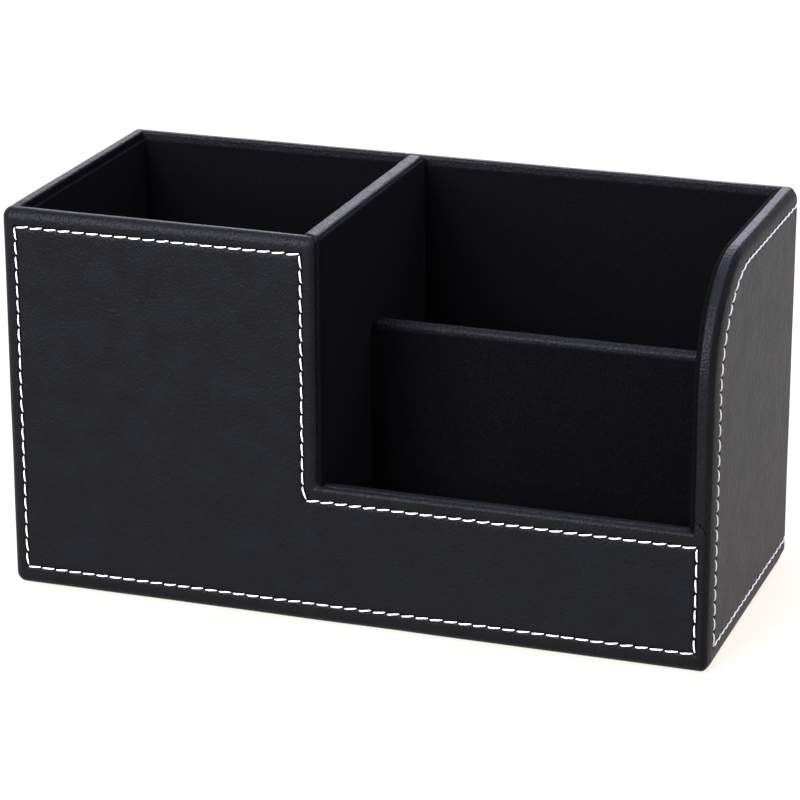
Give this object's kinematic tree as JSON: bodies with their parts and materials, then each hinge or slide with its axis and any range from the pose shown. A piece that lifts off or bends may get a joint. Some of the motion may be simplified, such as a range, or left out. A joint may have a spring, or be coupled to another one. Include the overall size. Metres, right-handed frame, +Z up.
{
  "type": "pen holder",
  "caption": "Black leather covered desk pen holder with one tall cup and a low fronted bay that a cross divider splits, white stitched edges, velvet lining.",
  "frame": {"origin": "centre of the footprint, on the surface that the felt pad rests on", "axes": "+X to the right when facing the stitched front, +Y from front to back, +Z up"},
  "size_m": [0.2, 0.092, 0.11],
  "materials": {
    "black_leather": "black synthetic leather, fine grain, semi matt",
    "white_thread": "thick white polyester thread",
    "black_velvet": "black flocked velvet on card",
    "fibreboard": "raw thin fibreboard",
    "grey_card": "grey card",
    "pin_steel": "bright headless pins",
    "black_felt": "black needled felt"
  },
  "bodies": {
    "root": {"left_side_board": "fibreboard", "right_side_board": "fibreboard", "front_board": "fibreboard", "back_board": "fibreboard", "base_board": "fibreboard", "joint_pins": "pin_steel", "middle_divider_cover": "black_leather", "middle_divider_board": "fibreboard", "cross_divider_cover": "black_leather", "cross_divider_board": "fibreboard", "front_cover": "black_leather", "wrap_cover": "black_leather", "front_stitching": "white_thread", "wrap_stitching": "white_thread", "base_infill_card": "grey_card", "base_felt": "black_felt", "cup_floor_lining": "black_velvet", "cup_left_lining": "black_velvet", "cup_right_lining": "black_velvet", "cup_front_lining": "black_velvet", "cup_back_lining": "black_velvet", "bay_floor_lining": "black_velvet", "bay_left_lining": "black_velvet", "bay_right_lining": "black_velvet", "bay_front_lining": "black_velvet", "bay_back_lining": "black_velvet", "cross_front_lining": "black_velvet", "cross_back_lining": "black_velvet"}
  },
  "joints": []
}
